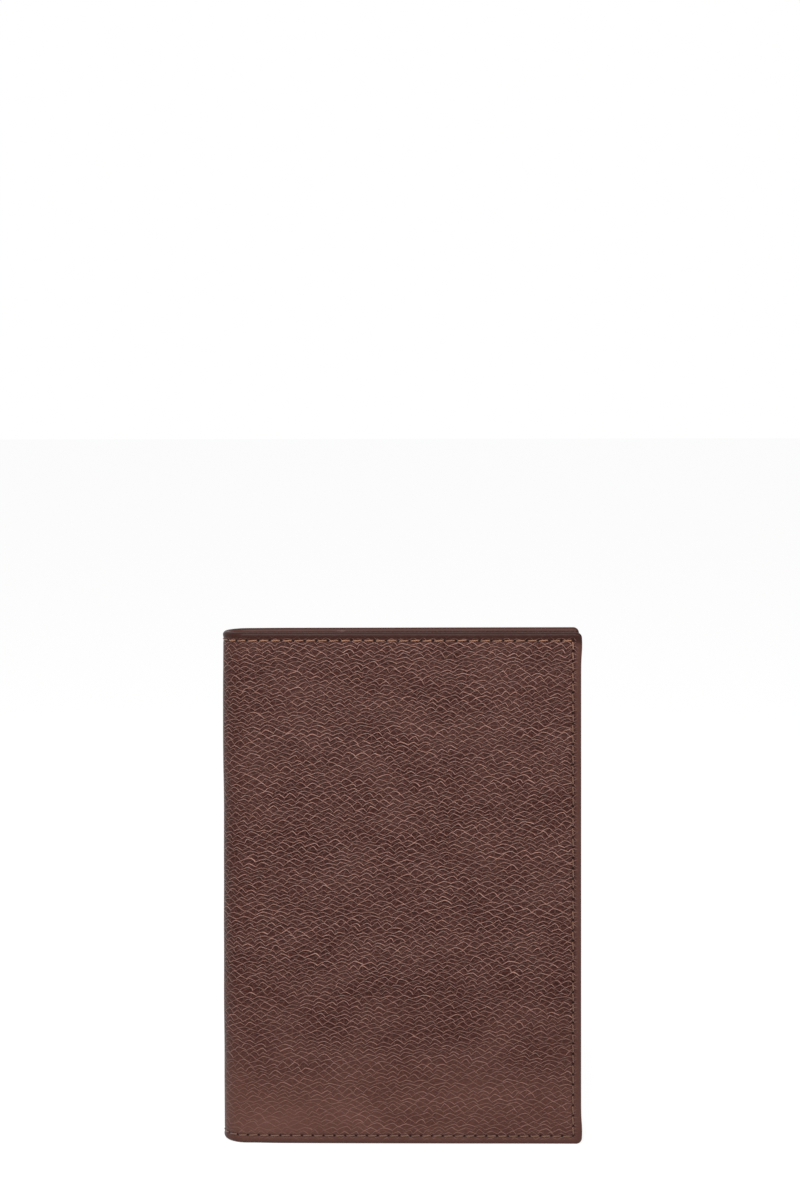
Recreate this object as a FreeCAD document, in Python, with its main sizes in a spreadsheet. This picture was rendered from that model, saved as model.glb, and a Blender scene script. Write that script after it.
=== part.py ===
"""Passport holder: a bifold leather cover that stands on its lower edges, slightly open.

Every sheet is drawn flat, as a pattern cutter draws it, in its own body. In a cover's flat frame
X runs from the fold line to the fore-edge, Y runs up the height, and the outer face lies at Z 0
with the layers stacked below it, so a layer at depth d is at Z -d. A placement then stands the
sheet up. In the part's frame X runs from the spine to the fore-edge, the front cover faces -Y,
and +Z is up. The origin is under the middle of the closed holder.

The soft spine is a row of narrow strips. The middle one carries its neighbours, each at the fold
line on its outer face, so that the half round of the closed spine rolls out when the holder opens.
"""

import FreeCAD, Part
import math
import os
import Sketcher

# ---------------------------------------------------------------------------------------------
# Driving dimensions, in millimetres and degrees
# ---------------------------------------------------------------------------------------------

DIMENSIONS = {
    "cover_height": 143.0,  # finished height of both covers and the spine
    "cover_width": 93.0,  # one cover, from its fold line to its fore-edge
    "spine_radius": 7.0,  # outer radius of the closed spine, half the closed thickness
    "spine_strips": 7,  # strips that the bending spine is divided into, an odd number
    "rest_open": 1.2,  # angle between the covers as the holder stands
    "leather": 1.0,  # outer leather
    "board": 0.4,  # bonded stiffener, and the interlining of the spine
    "hem": 0.5,  # skived leather turned over the board's edge
    "hem_width": 9.0,  # how far the turned leather reaches in
    "lining": 0.2,  # cloth lining between the hems
    "corner_radius": 1.6,  # fore-edge corners, seen from the front
    "roll_outer": 0.8,  # rounding of the turned edge on its outer side
    "roll_inner": 0.4,  # rounding of the turned edge on its inner side
    "seam_margin": 2.3,  # edge to seam line
    "stitch_pitch": 3.0,  # wanted length of one stitch, hole to hole
    "stitch_hole": 0.7,  # length lost to the needle hole between two stitches
    "thread": 0.45,  # sewing thread diameter
    "channel_width": 0.56,  # groove that the thread sinks into
    "channel_depth": 0.5,
    "sleeve": 0.7,  # leather of the passport sleeve
    "sleeve_start": 24.0,  # fold line to the sleeve's free edge
    "pocket_rise": 0.6,  # depth of a pocket, for a passport's cover or a folded paper
    "seam_flange": 3.6,  # sewn border round a pocket
    "panel_inset": 0.6,  # sleeve or panel edge inside the cover's edge
    "panel_start": 2.0,  # fold line to the card panel's inner edge
    "backing": 0.2,  # cloth backing of the card panel
    "facing": 0.6,  # leather of the card slots
    "pocket_lining": 0.15,  # cloth behind each card slot
    "slot_count": 3,
    "slot_top": 104.0,  # height of the highest card opening
    "slot_step": 14.0,  # from one card opening to the next
    "slot_overlap": 4.0,  # how far a slot laps over the piece above it
    "card_pocket_depth": 56.0,  # card opening to the pocket's floor
    "panel_seam": 1.5,  # panel edge to its own seam
    "layer_clearance": 0.02,  # between bent layers
    "side_clearance": 0.1,  # round a sheet inside its frame
    "fold_gap": 0.06,  # between two parts that hinge on each other
}

doc = FreeCAD.newDocument("passport_holder")
sizes = doc.addObject("Spreadsheet::Sheet", "sizes")
for row, (alias, number) in enumerate(DIMENSIONS.items(), start=1):
    sizes.set(f"A{row}", alias)
    sizes.set(f"B{row}", str(number))
    sizes.setAlias(f"B{row}", alias)
doc.recompute()

# Depths below the outer face and other sizes worked out from the sheet, as expressions
HEIGHT = "sizes.cover_height"
WIDTH = "sizes.cover_width"
HALF_GAP = "sizes.fold_gap / 2"
CLEAR = "sizes.side_clearance"
HEM_WIDTH = "sizes.hem_width"
INSET = "sizes.panel_inset"
BOARD_BOTTOM = "(sizes.leather + sizes.board)"
EDGE = "(sizes.leather + sizes.board + sizes.hem)"
SLEEVE_ROOF = f"({EDGE} + sizes.pocket_rise)"
BACKING_FACE = f"({SLEEVE_ROOF} + sizes.backing)"
PANEL_START = "sizes.panel_start"
SLOT_LENGTH = "(sizes.slot_step + sizes.slot_overlap)"
SEAM_LENGTH = f"({WIDTH} - sizes.seam_margin)"
STRIP_ANGLE = "((180 - sizes.rest_open) / sizes.spine_strips)"
STRIP_BODY_ANGLE = f"({STRIP_ANGLE} - sizes.fold_gap / sizes.spine_radius * 180 / pi)"
THREAD_DEPTH = "(sizes.channel_depth - sizes.thread / 2 - sizes.layer_clearance)"
LARGEST_ROLL = f"{EDGE} * 0.45"  # both rolls together then leave a flat strip of the edge
ROLL_OUTER = f"min(sizes.roll_outer; {LARGEST_ROLL})"
ROLL_INNER = f"min(sizes.roll_inner; {LARGEST_ROLL})"


def value(expression):
    """The number that an expression on the sheet gives."""
    result = sizes.evalExpression(str(expression))
    return float(getattr(result, "Value", result))


# ---------------------------------------------------------------------------------------------
# Sketch and feature helpers
# ---------------------------------------------------------------------------------------------


def new_body(label):
    body = doc.addObject("PartDesign::Body", label)
    body.Label = label
    body.AllowCompound = True
    return body


def origin_feature(body, role):
    return next(item for item in body.Origin.OriginFeatures if item.Role == role)


def new_sketch(body, name, plane="XY_Plane", **offset):
    """A sketch on one of the body's origin planes, moved by expressions along the plane's x, y, z."""
    sketch = body.newObject("Sketcher::SketchObject", name)
    sketch.AttachmentSupport = [(origin_feature(body, plane), "")]
    sketch.MapMode = "FlatFace"
    for axis, expression in offset.items():
        sketch.setExpression(f"AttachmentOffset.Base.{axis}", str(expression))
    return sketch


def bind(sketch, constraint, expression):
    index = sketch.addConstraint(constraint)
    sketch.setExpression(f"Constraints[{index}]", str(expression))


def pin_point(sketch, geometry, position, x, y):
    """Holds one point of a sketch at x, y, where 0 puts it on the axis itself."""
    for kind, axis, expression in (("DistanceX", -2, x), ("DistanceY", -1, y)):
        if expression == "0":
            sketch.addConstraint(Sketcher.Constraint("PointOnObject", geometry, position, axis))
        else:
            found = value(expression)
            bind(sketch, Sketcher.Constraint(kind, -1, 1, geometry, position, found), expression)


def add_polygon(sketch, points):
    """A closed outline through points given as pairs of expressions."""
    numbers = [FreeCAD.Vector(value(x), value(y), 0) for x, y in points]
    count = len(points)
    lines = [Part.LineSegment(numbers[i], numbers[(i + 1) % count]) for i in range(count)]
    first = sketch.addGeometry(lines)[0]
    for i in range(count):
        following = first + (i + 1) % count
        sketch.addConstraint(Sketcher.Constraint("Coincident", first + i, 2, following, 1))
    for i, (x, y) in enumerate(points):
        pin_point(sketch, first + i, 1, x, y)


def rectangle(x0, x1, y0, y1):
    return [(x0, y0), (x1, y0), (x1, y1), (x0, y1)]


def add_pad(body, name, sketch, length):
    pad = body.newObject("PartDesign::Pad", name)
    pad.Profile = sketch
    pad.setExpression("Length", str(length))
    doc.recompute()


def add_pocket(body, name, sketch, length, forwards):
    """Cuts along the sketch's normal if forwards, else against it, and checks that it cut."""
    before = body.Tip.Shape.Volume
    pocket = body.newObject("PartDesign::Pocket", name)
    pocket.Profile = sketch
    pocket.setExpression("Length", str(length))
    pocket.Reversed = forwards
    doc.recompute()
    if pocket.Shape.Volume > before - 1e-3:
        raise RuntimeError(f"{body.Label}: pocket {name} removes nothing")


def round_edges(body, name, radius, wanted):
    """Fillets the edges of the body's tip for which wanted(edge) is true."""
    tip = body.Tip
    names = [f"Edge{i}" for i, edge in enumerate(tip.Shape.Edges, start=1) if wanted(edge)]
    fillet = body.newObject("PartDesign::Fillet", name)
    fillet.Base = (tip, names)
    fillet.setExpression("Radius", str(radius))
    doc.recompute()


def on_plane(edge, axis, position):
    """True if the whole edge lies where the coordinate called axis equals position."""
    box = edge.BoundBox
    low, high = getattr(box, f"{axis}Min"), getattr(box, f"{axis}Max")
    return abs(low - position) < 1e-4 and abs(high - position) < 1e-4


def add_sheet(body, name, outline, top, bottom):
    """A flat sheet between two depths below the outer face."""
    sketch = new_sketch(body, f"{name}_outline", z=f"-({bottom})")
    add_polygon(sketch, outline)
    add_pad(body, name, sketch, f"({bottom}) - ({top})")


def flat_sheet(label, outline, top, bottom):
    body = new_body(label)
    add_sheet(body, "sheet", outline, top, bottom)
    return body


def revolve_about_height(body, name, sketch, angle):
    """Turns a section round the body's Z axis, half of the angle to each side of its XZ plane."""
    turned = body.newObject("PartDesign::Revolution", name)
    turned.Profile = sketch
    turned.ReferenceAxis = (sketch, ["V_Axis"])
    turned.Midplane = True
    turned.setExpression("Angle", str(angle))
    doc.recompute()


# ---------------------------------------------------------------------------------------------
# The sheets of a cover, drawn flat
# ---------------------------------------------------------------------------------------------


def seam_channel():
    """Outline of the groove along the lower edge, the fore-edge and the upper edge."""
    half = "sizes.channel_width / 2"
    low_out, low_in = f"sizes.seam_margin - {half}", f"sizes.seam_margin + {half}"
    high_out = f"{HEIGHT} - sizes.seam_margin + {half}"
    high_in = f"{HEIGHT} - sizes.seam_margin - {half}"
    side_out, side_in = f"{SEAM_LENGTH} + {half}", f"{SEAM_LENGTH} - {half}"
    return [
        ("0", low_out), (side_out, low_out), (side_out, high_out), ("0", high_out),
        ("0", high_in), (side_in, high_in), (side_in, low_in), ("0", low_in),
    ]


def cover_leather(label):
    """Outer leather with its turned hem: a tray with a slot for the board, open at the fold."""
    body = new_body(label)
    add_sheet(body, "turned_sheet", rectangle(HALF_GAP, WIDTH, "0", HEIGHT), "0", EDGE)
    width, edge = value(WIDTH), value(EDGE)

    def upright_at_fore_edge(item):
        return on_plane(item, "X", width) and item.BoundBox.ZLength > edge / 2

    def rim(depth):
        def wanted(item):
            at_fold = item.BoundBox.XMax < value(HALF_GAP) + 1e-3
            return on_plane(item, "Z", -depth) and not at_fold
        return wanted

    round_edges(body, "corners", "sizes.corner_radius", upright_at_fore_edge)
    round_edges(body, "outer_roll", ROLL_OUTER, rim(0))
    round_edges(body, "inner_roll", ROLL_INNER, rim(edge))

    turn = "sizes.leather"
    slot = new_sketch(body, "board_slot_outline", "YZ_Plane", y=f"-{BOARD_BOTTOM}")
    add_polygon(slot, rectangle(turn, f"{HEIGHT} - {turn}", "0", "sizes.board"))
    add_pocket(body, "board_slot", slot, f"{WIDTH} - {turn}", forwards=True)

    window = new_sketch(body, "hem_window_outline", z=f"-{EDGE}")
    inner = rectangle("0", f"{WIDTH} - {HEM_WIDTH}", HEM_WIDTH, f"{HEIGHT} - {HEM_WIDTH}")
    add_polygon(window, inner)
    add_pocket(body, "hem_window", window, "sizes.hem", forwards=True)

    channel = new_sketch(body, "seam_channel_outline")
    add_polygon(channel, seam_channel())
    add_pocket(body, "seam_channel", channel, "sizes.channel_depth", forwards=False)
    return body


def cover_board(label):
    edge = f"(sizes.leather + {CLEAR})"
    outline = rectangle(edge, f"{WIDTH} - {edge}", edge, f"{HEIGHT} - {edge}")
    return flat_sheet(label, outline, "sizes.leather", BOARD_BOTTOM)


def cover_lining(label):
    edge = f"({HEM_WIDTH} + {CLEAR})"
    outline = rectangle(HALF_GAP, f"{WIDTH} - {edge}", edge, f"{HEIGHT} - {edge}")
    return flat_sheet(label, outline, BOARD_BOTTOM, f"{BOARD_BOTTOM} + sizes.lining")


def raised_pocket(label, start, wall):
    """A sheet sewn down on three sides and raised between them, open towards the fold."""
    body = new_body(label)
    border = "sizes.seam_flange"
    flange = rectangle(start, f"{WIDTH} - {INSET}", INSET, f"{HEIGHT} - {INSET}")
    raised = rectangle(start, f"{WIDTH} - {border}", border, f"{HEIGHT} - {border}")
    roof = f"({SLEEVE_ROOF} + {wall})"
    add_sheet(body, "flange", flange, EDGE, f"{EDGE} + {wall}")
    add_sheet(body, "raised_part", raised, EDGE, roof)
    inside = f"({border} + {wall})"
    cavity = new_sketch(body, "pocket_outline", z=f"-{SLEEVE_ROOF}")
    add_polygon(cavity, rectangle("0", f"{WIDTH} - {inside}", inside, f"{HEIGHT} - {inside}"))
    # the sketch lies on the pocket's roof, and the cut runs from there to the cover's hem
    add_pocket(body, "pocket", cavity, "sizes.pocket_rise", forwards=True)
    return body


def sleeve_lining(label):
    """Cloth bonded under the raised part of the passport sleeve."""
    inside = f"(sizes.seam_flange + sizes.sleeve + {CLEAR})"
    start = f"sizes.sleeve_start + {CLEAR}"
    outline = rectangle(start, f"{WIDTH} - {inside}", inside, f"{HEIGHT} - {inside}")
    return flat_sheet(label, outline, f"{SLEEVE_ROOF} - sizes.lining", SLEEVE_ROOF)


# ---------------------------------------------------------------------------------------------
# The card panel of the front cover
# ---------------------------------------------------------------------------------------------


def slot_opening(k):
    """Height of the opening of card slot k, counted from 1 at the top."""
    return f"(sizes.slot_top - {k - 1} * sizes.slot_step)"


def slot_end(k):
    """Height of the lower end of the slanted part of card slot k."""
    return f"({slot_opening(k)} - {SLOT_LENGTH})"


def slot_base(k):
    """Depth of the underside of card slot k at its lower end."""
    return f"({BACKING_FACE} + {k - 1} * (sizes.pocket_lining + sizes.layer_clearance))"


SLOT_RISE = (
    f"((sizes.facing + sizes.layer_clearance) * {SLOT_LENGTH} / sizes.slot_step)"
)  # how much deeper a slot's free edge lies than its lower end


def top_panel(label):
    start = f"{slot_opening(1)} - sizes.slot_overlap"
    outline = rectangle(PANEL_START, f"{WIDTH} - {INSET}", start, f"{HEIGHT} - {INSET}")
    return flat_sheet(label, outline, BACKING_FACE, f"{BACKING_FACE} + sizes.facing")


def card_slot(label, k, reaches_bottom):
    """A leather facing that leans over the end of the piece above it; the last one is longer."""
    body = new_body(label)
    # on the body's YZ plane depth is downwards, so the sketch stands on the deepest line
    deepest = f"({slot_base(k)} + {SLOT_RISE} + sizes.facing)"
    sketch = new_sketch(body, "side_profile", "YZ_Plane", y=f"-{deepest}", z=PANEL_START)
    under_low = f"{deepest} - {slot_base(k)}"
    under_high = f"{deepest} - {slot_base(k)} - {SLOT_RISE}"
    face_low = f"{under_low} - sizes.facing"
    points = [
        (slot_end(k), under_low), (slot_opening(k), under_high),
        (slot_opening(k), "0"), (slot_end(k), face_low),
    ]
    if reaches_bottom:
        points = points + [(INSET, face_low), (INSET, under_low)]
    add_polygon(sketch, points)
    add_pad(body, "facing", sketch, f"{WIDTH} - {INSET} - {PANEL_START}")
    return body


def card_pocket_lining(label, k):
    """Cloth that carries a card behind the slots below, from slot k's end to its pocket floor."""
    floor = f"{slot_opening(k)} - sizes.card_pocket_depth"
    edge = f"sizes.seam_margin + {CLEAR}"
    outline = rectangle(
        f"{PANEL_START} + {edge}", f"{WIDTH} - ({edge})", floor, f"{slot_end(k)} - {CLEAR}"
    )
    return flat_sheet(label, outline, slot_base(k), f"{slot_base(k)} + sizes.pocket_lining")


def panel_face(height):
    """Depth and slope, as a rise per millimetre, of the card panel's face at a height."""
    facing = value("sizes.facing")
    last = int(value("sizes.slot_count"))
    for k in range(1, last + 1):
        next_opening = value(slot_opening(k + 1)) if k < last else 0.0
        if next_opening <= height <= value(slot_opening(k)):
            above_end = max(0.0, height - value(slot_end(k)))
            slope = value(SLOT_RISE) / value(SLOT_LENGTH) if above_end else 0.0
            return value(slot_base(k)) + facing + slope * above_end, slope
    return value(BACKING_FACE) + facing, 0.0


# ---------------------------------------------------------------------------------------------
# Seams
# ---------------------------------------------------------------------------------------------


def stitch_count(length):
    return f"round({length} / sizes.stitch_pitch)"


def channel_row(label, length, x, y, upright=False):
    """A row of stitches sunk in the channel of the outer leather, starting at x, y."""
    body = new_body(label)
    count = stitch_count(length)
    pitch = f"({length} / {count})"
    half = f"{pitch} / 2"
    offset = {"x": x, "y": f"{y} + {half}"} if upright else {"x": f"{x} + {half}", "y": y}
    sketch = new_sketch(body, "half_stitch", z=f"-{THREAD_DEPTH}", **offset)
    if upright:
        turn = FreeCAD.Rotation(FreeCAD.Vector(0, 0, 1), 90)
        sketch.AttachmentOffset = FreeCAD.Placement(sketch.AttachmentOffset.Base, turn)
    radius = value("sizes.thread") / 2
    reach = (value(pitch) - value("sizes.stitch_hole")) / 2
    vector, up = FreeCAD.Vector, FreeCAD.Vector(0, 0, 1)
    right = Part.Circle(vector(reach - radius, 0, 0), up, radius)
    left = Part.Circle(vector(radius - reach, 0, 0), up, radius)
    axis, front, side, back = sketch.addGeometry([
        Part.LineSegment(vector(-reach, 0, 0), vector(reach, 0, 0)),
        Part.ArcOfCircle(right, 0, math.pi / 2),
        Part.LineSegment(vector(reach - radius, radius, 0), vector(radius - reach, radius, 0)),
        Part.ArcOfCircle(left, math.pi / 2, math.pi),
    ])
    for item in (
        ("Coincident", axis, 2, front, 1), ("Coincident", back, 2, axis, 1),
        ("Tangent", front, 2, side, 1), ("Tangent", side, 2, back, 1),
        ("Symmetric", axis, 1, axis, 2, -1, 1), ("Horizontal", axis), ("Equal", front, back),
        ("PointOnObject", front, 3, -1), ("PointOnObject", back, 3, -1),
    ):
        sketch.addConstraint(Sketcher.Constraint(*item))
    bind(sketch, Sketcher.Constraint("Radius", front, radius), "sizes.thread / 2")
    bind(sketch, Sketcher.Constraint("Distance", axis, 2 * reach), f"{pitch} - sizes.stitch_hole")
    doc.recompute()
    stitch = body.newObject("PartDesign::Revolution", "stitch")
    stitch.Profile = sketch
    stitch.ReferenceAxis = (sketch, ["H_Axis"])
    doc.recompute()
    row = body.newObject("PartDesign::LinearPattern", "row")
    row.Originals = [stitch]
    row.Direction = (origin_feature(body, "Y_Axis" if upright else "X_Axis"), [""])
    row.Mode = "Spacing"
    row.setExpression("Offset", pitch)
    row.setExpression("Occurrences", count)
    body.Tip = row
    doc.recompute()
    return body


def thread_run(start, end):
    """One straight run of thread with round ends, from start to end."""
    radius = value("sizes.thread") / 2
    along = (end - start).normalize()
    start, end = start + along * radius, end - along * radius
    rod = Part.makeCylinder(radius, (end - start).Length, start, along)
    tip, heel = Part.makeSphere(radius, end), Part.makeSphere(radius, start)
    return rod.fuse([tip, heel]).removeSplitter()


def surface_row(start, end, face):
    """Stitches along a straight line in x and y that lie on a face of the cover's inner side.

    face(x, y) gives the depth of that face and its slope along y. A stitch that would cross the
    free edge of a slot is left out, because there the seam passes under the next facing.
    """
    count = max(1, round((end - start).Length / value("sizes.stitch_pitch")))
    step = (end - start) / count
    trim = step * (value("sizes.stitch_hole") / 2 / step.Length)
    lift = value("sizes.thread") / 2 + value("sizes.layer_clearance")
    runs = []
    for i in range(count):
        first, last = start + step * i + trim, start + step * (i + 1) - trim
        depth_first, slope = face(first.x, first.y)
        depth_last, _ = face(last.x, last.y)
        if abs(depth_last - depth_first - slope * (last.y - first.y)) > 1e-6:
            continue
        off = lift / math.cos(math.atan(slope))
        first.z, last.z = -(depth_first + off), -(depth_last + off)
        runs.append(thread_run(first, last))
    return runs


def inner_seam(label, rows, face):
    """The inner side of a seam as one feature: its runs follow a face that steps and slopes."""
    runs = []
    for start, end in rows:
        runs += surface_row(FreeCAD.Vector(*start), FreeCAD.Vector(*end), face)
    feature = doc.addObject("Part::Feature", label)
    feature.Label = label
    feature.Shape = Part.makeCompound(runs)
    return feature


def border_rows():
    """Ends of the three seam lines round a cover, in its flat frame."""
    margin = value("sizes.seam_margin")
    side, top = value(SEAM_LENGTH), value(HEIGHT) - margin
    return [
        ((0, margin, 0), (side, margin, 0)),
        ((side, margin, 0), (side, top, 0)),
        ((0, top, 0), (side, top, 0)),
    ]


def front_inner_face(x, y):
    """The card panel's face, or the hem between the fold and the panel."""
    if x < value(PANEL_START):
        return value(EDGE), 0.0
    return panel_face(y)


def back_inner_face(x, y):
    """The sleeve's sewn border or raised part, or the hem between the fold and the sleeve."""
    if x < value("sizes.sleeve_start"):
        return value(EDGE), 0.0
    border = value("sizes.seam_flange")
    raised = x < value(WIDTH) - border and border < y < value(HEIGHT) - border
    return value(SLEEVE_ROOF if raised else EDGE) + value("sizes.sleeve"), 0.0


def free_edge_row(x, low):
    """A seam line up the free edge of a panel or sleeve."""
    return ((x, low, 0), (x, value(HEIGHT) - low, 0))


# ---------------------------------------------------------------------------------------------
# The strips of the spine
# ---------------------------------------------------------------------------------------------


def radius_at(depth):
    return f"(sizes.spine_radius - {depth})"


def strip_leather(label):
    """Leather of one strip with the hem turned in at both ends and the seam channel."""
    body = new_body(label)
    outer, turn = "sizes.spine_radius", "sizes.leather"
    inner, board, edge = radius_at("sizes.leather"), radius_at(BOARD_BOTTOM), radius_at(EDGE)
    groove = radius_at("sizes.channel_depth")
    low = "sizes.seam_margin - sizes.channel_width / 2"
    high = "sizes.seam_margin + sizes.channel_width / 2"

    def mirrored(points):
        return [(r, f"{HEIGHT} - ({z})" if z != "0" else HEIGHT) for r, z in reversed(points)]

    outside = [(outer, "0"), (outer, low), (groove, low), (groove, high), (outer, high)]
    inside = [(inner, turn), (board, turn), (board, HEM_WIDTH), (edge, HEM_WIDTH), (edge, "0")]
    section = outside + mirrored(outside) + mirrored(inside) + inside
    sketch = new_sketch(body, "section", "XZ_Plane")
    add_polygon(sketch, section)
    revolve_about_height(body, "bent_strip", sketch, STRIP_BODY_ANGLE)
    height = value(HEIGHT)

    def rim_at(radius):
        def wanted(item):
            if not (on_plane(item, "Z", 0) or on_plane(item, "Z", height)):
                return False
            curve = item.Curve
            return isinstance(curve, Part.Circle) and abs(curve.Radius - radius) < 1e-4
        return wanted

    round_edges(body, "outer_roll", ROLL_OUTER, rim_at(value(outer)))
    round_edges(body, "inner_roll", ROLL_INNER, rim_at(value(edge)))
    return body


def strip_lining(label):
    """Interlining under the leather, with the cloth lining bonded to it between the hems."""
    body = new_body(label)
    back = f"({radius_at('sizes.leather')} - sizes.layer_clearance)"
    step = f"({radius_at(BOARD_BOTTOM)} + sizes.layer_clearance)"
    face = f"({radius_at(BOARD_BOTTOM)} - sizes.lining)"
    low, hem = f"sizes.leather + {CLEAR}", f"{HEM_WIDTH} + {CLEAR}"
    half = [(back, low), (step, low), (step, hem), (face, hem)]
    other = [(r, f"{HEIGHT} - ({z})") for r, z in reversed(half)]
    sketch = new_sketch(body, "section", "XZ_Plane")
    add_polygon(sketch, half + other)
    revolve_about_height(body, "bent_strip", sketch, STRIP_BODY_ANGLE)
    return body


def strip_stitches(label):
    """The four runs of thread that cross a strip: outside and inside, at both ends."""
    body = new_body(label)
    outside = radius_at(THREAD_DEPTH)
    inside = f"({radius_at(EDGE)} - sizes.thread / 2 - sizes.layer_clearance)"
    hole_angle = "(sizes.stitch_hole / sizes.spine_radius * 180 / pi)"
    sketch = new_sketch(body, "thread_sections", "XZ_Plane")
    for radius in (outside, inside):
        for height in ("sizes.seam_margin", f"{HEIGHT} - sizes.seam_margin"):
            centre = FreeCAD.Vector(value(radius), value(height), 0)
            circle = Part.Circle(centre, FreeCAD.Vector(0, 0, 1), value("sizes.thread") / 2)
            index = sketch.addGeometry(circle)
            pin_point(sketch, index, 3, radius, height)
            bind(sketch, Sketcher.Constraint("Diameter", index, circle.Radius * 2), "sizes.thread")
    revolve_about_height(body, "bent_threads", sketch, f"{STRIP_ANGLE} - {hole_angle}")
    return body


# ---------------------------------------------------------------------------------------------
# Placing the covers and the strips round the spine
# ---------------------------------------------------------------------------------------------

half_open = value("sizes.rest_open / 2")
spine_radius = value("sizes.spine_radius")
strip_angle = value(STRIP_ANGLE)
strips = int(value("sizes.spine_strips"))
lean = math.radians(half_open)
reach = value(WIDTH) * math.cos(lean) + value(EDGE) * math.sin(lean)
spine_x = (spine_radius + spine_radius * math.sin(lean) - reach) / 2
spine_centre = FreeCAD.Vector(spine_x, 0, 0)


def fold_point(angle):
    """The point of the outer face at a polar angle round the spine, in degrees."""
    turn = math.radians(angle)
    return spine_centre + FreeCAD.Vector(math.cos(turn), math.sin(turn), 0) * spine_radius


def turned(axis, degrees):
    return FreeCAD.Rotation(FreeCAD.Vector(*axis), degrees)


back_fold = 90 + half_open
front_fold = 270 - half_open
front_placement = FreeCAD.Placement(
    fold_point(front_fold), turned((0, 0, 1), -half_open) * turned((1, 0, 0), 90)
)
back_placement = FreeCAD.Placement(
    fold_point(back_fold) + FreeCAD.Vector(0, 0, value(HEIGHT)),
    turned((0, 0, 1), half_open) * turned((1, 0, 0), -90),
)


def strip_placement(k):
    """Strip k, counted from the back cover, points from the spine's centre to its own middle."""
    return FreeCAD.Placement(spine_centre, turned((0, 0, 1), back_fold + (k - 0.5) * strip_angle))


# ---------------------------------------------------------------------------------------------
# The pieces
# ---------------------------------------------------------------------------------------------

nodes = {}


def keep(feature, placement):
    feature.Placement = placement
    nodes[feature.Label] = feature


for side, placement in (("front", front_placement), ("back", back_placement)):
    margin, top = "sizes.seam_margin", f"{HEIGHT} - sizes.seam_margin"
    column = f"({HEIGHT} - 2 * sizes.seam_margin)"
    keep(cover_leather(f"{side}_cover_leather"), placement)
    keep(cover_board(f"{side}_cover_board"), placement)
    keep(cover_lining(f"{side}_cover_lining"), placement)
    keep(channel_row(f"{side}_lower_stitching", SEAM_LENGTH, "0", margin), placement)
    keep(channel_row(f"{side}_upper_stitching", SEAM_LENGTH, "0", top), placement)
    fore_edge = channel_row(f"{side}_fore_edge_stitching", column, SEAM_LENGTH, margin, True)
    keep(fore_edge, placement)

keep(raised_pocket("passport_sleeve", "sizes.sleeve_start", "sizes.sleeve"), back_placement)
keep(sleeve_lining("passport_sleeve_lining"), back_placement)
keep(raised_pocket("card_panel_backing", PANEL_START, "sizes.backing"), front_placement)
keep(top_panel("card_panel_top"), front_placement)
slot_count = int(value("sizes.slot_count"))
for k in range(1, slot_count + 1):
    is_last = k == slot_count
    keep(card_slot(f"card_slot_{k}", k, is_last), front_placement)
    if not is_last:
        keep(card_pocket_lining(f"card_pocket_lining_{k}", k), front_placement)

panel_seam_x = value(f"{PANEL_START} + sizes.panel_seam")
sleeve_seam_x = value("sizes.sleeve_start + sizes.panel_seam")
first_height = value("sizes.seam_margin + sizes.stitch_pitch")
sleeve_row = free_edge_row(sleeve_seam_x, value("sizes.seam_flange + sizes.panel_seam"))
front_rows = border_rows() + [free_edge_row(panel_seam_x, first_height)]
back_rows = border_rows() + [sleeve_row]
keep(inner_seam("front_inner_stitching", front_rows, front_inner_face), front_placement)
keep(inner_seam("back_inner_stitching", back_rows, back_inner_face), back_placement)

for k in range(1, strips + 1):
    keep(strip_leather(f"spine_leather_{k}"), strip_placement(k))
    keep(strip_lining(f"spine_lining_{k}"), strip_placement(k))
    keep(strip_stitches(f"spine_stitching_{k}"), strip_placement(k))

# ---------------------------------------------------------------------------------------------
# Checking and writing
# ---------------------------------------------------------------------------------------------

doc.recompute()
for item in doc.Objects:
    if "Invalid" in item.State or "Error" in item.State:
        raise RuntimeError(f"{item.Name} ({item.Label}) failed: {item.getStatusString()}")
for name, feature in nodes.items():
    if feature.Shape.isNull() or not feature.Shape.isValid() or not feature.Shape.Solids:
        raise RuntimeError(f"{name} has no valid solid")

os.makedirs("parts", exist_ok=True)
for name, feature in nodes.items():
    feature.Shape.exportStep(os.path.join("parts", f"{name}.step"))
print(f"{len(nodes)} sub-parts written")
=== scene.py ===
import math

import bpy
import numpy as np
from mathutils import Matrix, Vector


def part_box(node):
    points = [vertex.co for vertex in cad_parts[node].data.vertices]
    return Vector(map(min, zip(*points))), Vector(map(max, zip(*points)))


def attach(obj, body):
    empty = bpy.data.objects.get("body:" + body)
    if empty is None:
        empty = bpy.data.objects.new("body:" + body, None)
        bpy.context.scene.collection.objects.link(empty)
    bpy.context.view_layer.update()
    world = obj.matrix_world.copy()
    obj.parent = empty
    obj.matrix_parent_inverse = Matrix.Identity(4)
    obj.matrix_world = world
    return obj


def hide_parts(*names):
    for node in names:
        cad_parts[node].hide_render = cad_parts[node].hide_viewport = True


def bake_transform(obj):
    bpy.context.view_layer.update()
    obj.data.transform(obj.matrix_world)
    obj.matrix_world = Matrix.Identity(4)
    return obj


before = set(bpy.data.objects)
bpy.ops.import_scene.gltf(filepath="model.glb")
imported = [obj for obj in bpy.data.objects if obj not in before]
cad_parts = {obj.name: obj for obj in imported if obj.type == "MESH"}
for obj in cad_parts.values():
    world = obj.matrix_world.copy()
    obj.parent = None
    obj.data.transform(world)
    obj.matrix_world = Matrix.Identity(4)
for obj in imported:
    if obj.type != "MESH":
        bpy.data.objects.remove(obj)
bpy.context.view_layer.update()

# ------------------------------------------------------------------------------------------------
# Studio
# A pale floor under a white room, one large soft lamp high in front and a weaker one at the side.
# The floor and the room show white, and the floor still takes the holder's faint shadow.
# ------------------------------------------------------------------------------------------------


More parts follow.
